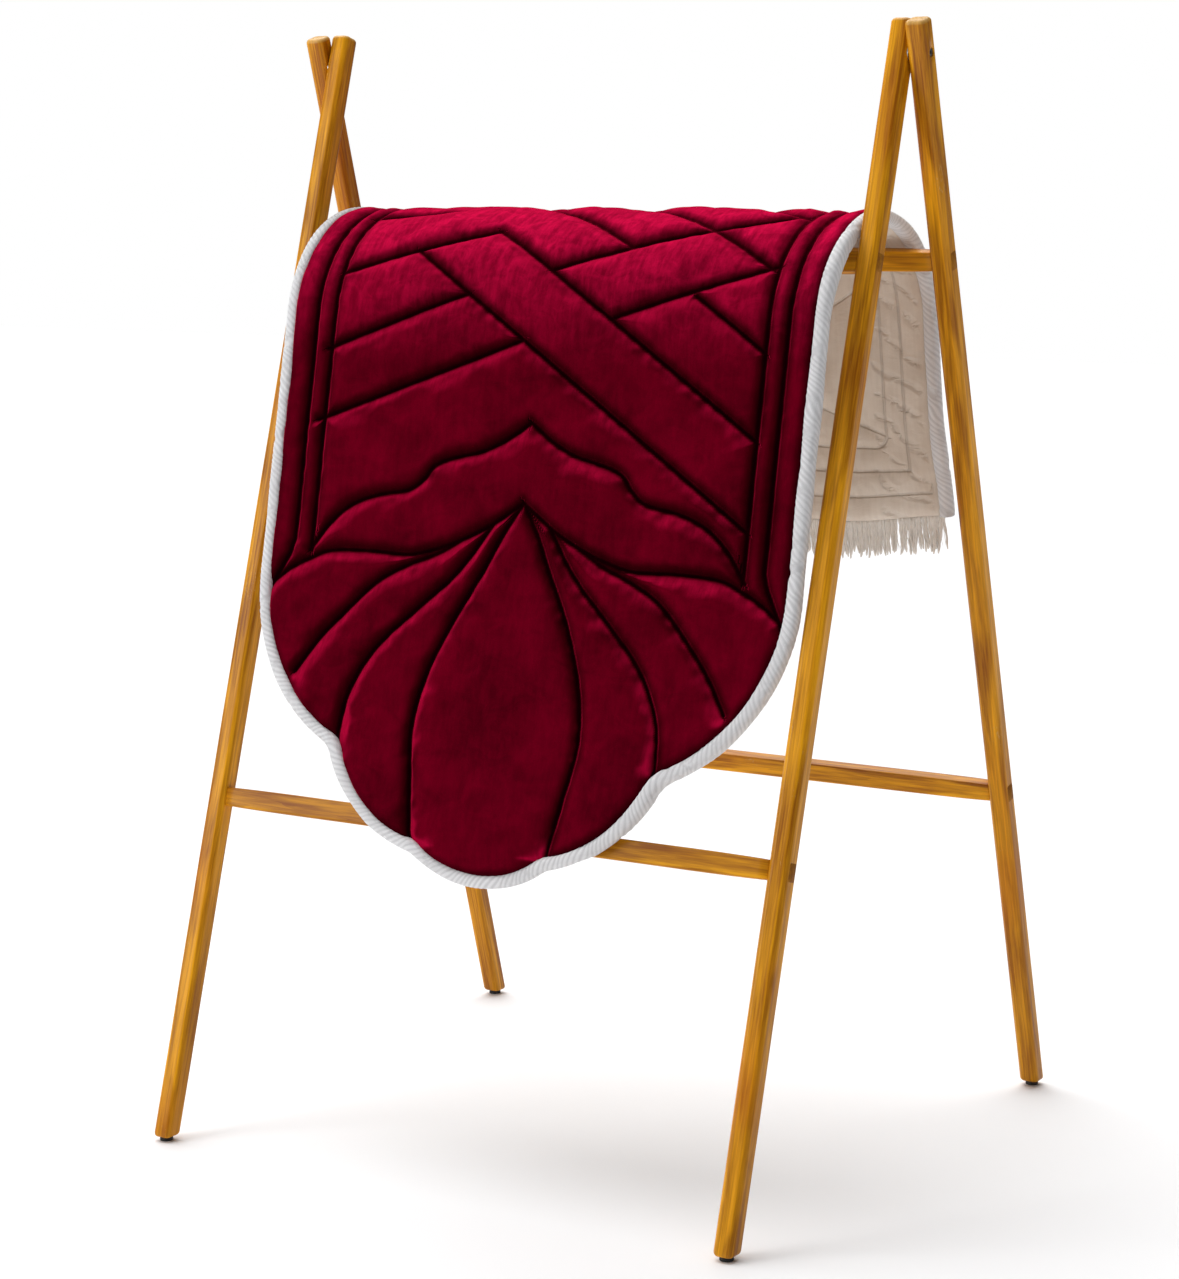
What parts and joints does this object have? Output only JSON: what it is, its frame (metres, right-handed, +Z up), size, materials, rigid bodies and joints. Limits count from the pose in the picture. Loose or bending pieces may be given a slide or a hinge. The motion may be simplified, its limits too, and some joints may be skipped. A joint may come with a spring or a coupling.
{
  "type": "quilt on a rack",
  "caption": "Padded velvet quilt with a lobed front end, bound edge and fringed back hem, draped over a folding crossed-leg wooden rack.",
  "frame": {"origin": "floor level, below the middle of the rack", "axes": "+X to the right along the rails, +Y towards the back, where the quilt's short fringed end hangs, +Z up"},
  "size_m": [0.7922, 0.7292, 1.2332],
  "materials": {
    "varnished_wood": "honey-coloured varnish, semi-gloss",
    "foot_rubber": "matt black rubber",
    "screw_steel": "dull dark steel",
    "washer_steel": "plain steel",
    "insert_brass": "plain turned brass",
    "velvet": "deep crimson velvet pile",
    "wadding": "cotton wadding",
    "lining_cloth": "cream cotton cloth",
    "binding_satin": "pale twisted satin cord",
    "fringe_yarn": "soft twisted yarn"
  },
  "bodies": {
    "back_frame": {"back_left_leg": "varnished_wood", "back_right_leg": "varnished_wood", "back_top_rail": "varnished_wood", "back_lower_stretcher": "varnished_wood", "back_left_foot_pad": "foot_rubber", "back_right_foot_pad": "foot_rubber", "back_foot_screws": "screw_steel", "quilt_crown_face": "velvet", "quilt_crown_filling": "wadding", "quilt_crown_lining": "lining_cloth", "quilt_back_face": "velvet", "quilt_back_filling": "wadding", "quilt_back_lining": "lining_cloth", "quilt_crown_left_binding": "binding_satin", "quilt_crown_right_binding": "binding_satin", "quilt_back_left_binding": "binding_satin", "quilt_back_right_binding": "binding_satin", "quilt_fringe": "fringe_yarn"},
    "front_frame": {"front_left_leg": "varnished_wood", "front_right_leg": "varnished_wood", "front_top_rail": "varnished_wood", "front_lower_stretcher": "varnished_wood", "front_left_foot_pad": "foot_rubber", "front_right_foot_pad": "foot_rubber", "front_foot_screws": "screw_steel", "left_pivot_screw": "screw_steel", "right_pivot_screw": "screw_steel", "left_screw_insert": "insert_brass", "right_screw_insert": "insert_brass", "left_spacer_washer": "washer_steel", "right_spacer_washer": "washer_steel", "quilt_front_face": "velvet", "quilt_front_filling": "wadding", "quilt_front_lining": "lining_cloth", "quilt_front_binding": "binding_satin"}
  },
  "joints": [
    {"name": "fold", "type": "hinge", "parent": "back_frame", "child": "front_frame", "pos_m": [0, 0, 1.197], "axis": [1, 0, 0], "range_deg": [-9, 26], "deforming": ["quilt_crown_face", "quilt_crown_filling", "quilt_crown_lining", "quilt_crown_left_binding", "quilt_crown_right_binding"]}
  ]
}
